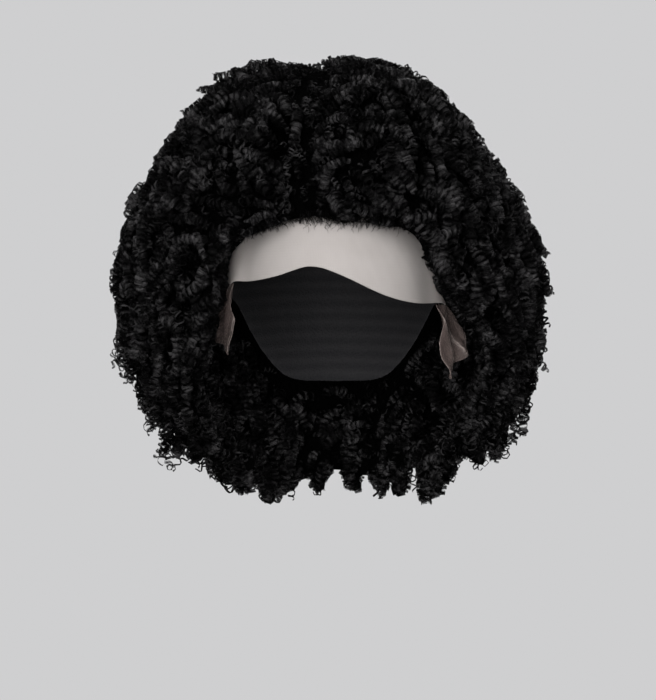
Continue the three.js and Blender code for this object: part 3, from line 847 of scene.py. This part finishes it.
def tied_fibre():
    """A fibre that rises from the hairline and bends back, or nothing where the lace is missed."""
    azimuth = dice.uniform(HAIRLINE[0][0], HAIRLINE[-1][0])
    root, out = on_lace(azimuth, hairline_drop(azimuth) + abs(dice.gauss(0, 0.0026)))
    if root is None:
        return None
    across = Vector((0, 0, 1)).cross(out).normalized()
    way = (Vector((0, 0, 0.9)) + out * 0.5 + across * dice.gauss(0, 0.5)).normalized()
    line = [root + out * 0.0004]
    for _ in range(7):
        way = (way + out * 0.1 + across * dice.gauss(0, 0.25)).normalized()
        line.append(line[-1] + way * 0.0014)
    coil = {"phase": dice.uniform(0, 6), "hand": 1, "pitch": 0.012, "radius": 0.0006, "girth": 1, "wave": 0}
    return line[:-1], coil


def slack_wisp():
    """A curled wisp that lies forward on the lace, or nothing where the lace is missed."""
    azimuth = dice.uniform(HAIRLINE[0][0], HAIRLINE[-1][0])
    root, out = on_lace(azimuth, hairline_drop(azimuth) - 0.004 + abs(dice.gauss(0, 0.003)))
    if root is None:
        return None
    across = Vector((0, 0, 1)).cross(out).normalized()
    way = (Vector((0, 0, -0.15)) + out * 0.3 + across * dice.gauss(0, 0.8)).normalized()
    line = [root + out * 0.0032 + way * 0.002 * i for i in range(dice.choice((3, 4, 5)))]
    coil = {"phase": dice.uniform(0, 6), "hand": dice.choice((-1, 1))} | drawn(WISP_COIL)
    return line, coil | {"pitch": 0.0042, "girth": 1.9, "wave": 0.2}


babies = [tied_fibre() for _ in range(BABIES)] + [slack_wisp() for _ in range(WISPS)]
fringe = wind("baby_hairs", [baby for baby in babies if baby], stray_fibre,
              {"Step": BABY_STEP, "Ribbon Width": BABY_HAIR, "Ribbon Thickness": BABY_HAIR})
add_piece("baby_hairs", fringe, stray_fibre)


# The floor, the light and the camera. The camera stands level with the hair's widest part, a
# little above it, as the photograph was taken.
FLOOR_RADIUS = 0.9
FLOOR_HEIGHT = -0.65
FLOOR_GREY = (0.34, 0.34, 0.335, 1)
SKY_GREY = (0.82, 0.82, 0.83, 1)
SKY_STRENGTH = 0.76
SENSOR = 36
CAMERA_DISTANCE = 1.4
CAMERA_RISE = math.radians(5)
AIM = Vector((-0.0055, 0, -0.1346))
FRAME_HEIGHT = 0.483

floor_mesh = bpy.data.meshes.new("floor")
disc = bmesh.new()
bmesh.ops.create_circle(disc, cap_ends=True, segments=96, radius=FLOOR_RADIUS)
disc.to_mesh(floor_mesh)
disc.free()
floor_mesh.transform(Matrix.Translation((0, 0, FLOOR_HEIGHT)))
floor_mesh.materials.append(finish_of("pale floor", lambda _: {"Base Color": FLOOR_GREY, "Roughness": 0.8}))
placed("floor", floor_mesh)

world = bpy.data.worlds.new("studio")
bpy.context.scene.world = world
world.use_nodes = True
sky = world.node_tree.nodes["Background"]
sky.inputs["Color"].default_value = SKY_GREY
sky.inputs["Strength"].default_value = SKY_STRENGTH
bpy.context.scene.view_settings.view_transform = "Standard"


def soft_light(name, place, size, power):
    lamp = bpy.data.lights.new(name, "AREA")
    lamp.shape = "DISK"
    lamp.size = size
    lamp.energy = power
    holder = placed(name, lamp)
    holder.location = place
    holder.rotation_euler = (AIM - Vector(place)).to_track_quat("-Z", "Y").to_euler()


soft_light("key", (-0.6, -1.9, 0.95), 1.2, 48)
soft_light("front", (-0.4, -2.2, 0.0), 1.2, 40)
soft_light("fill", (1.3, -1.4, 0.3), 1.0, 13)
soft_light("top", (-0.2, 0.3, 1.9), 1.0, 28)
soft_light("back", (0.4, 1.9, 0.6), 1.2, 30)

camera_data = bpy.data.cameras.new("camera")
camera_data.sensor_width = SENSOR
camera_data.lens = SENSOR * CAMERA_DISTANCE / FRAME_HEIGHT
camera = placed("camera", camera_data)
back = Vector((0, -math.cos(CAMERA_RISE), math.sin(CAMERA_RISE)))
camera.location = AIM + back * CAMERA_DISTANCE
camera.rotation_euler = (-back).to_track_quat("-Z", "Y").to_euler()
bpy.context.scene.camera = camera
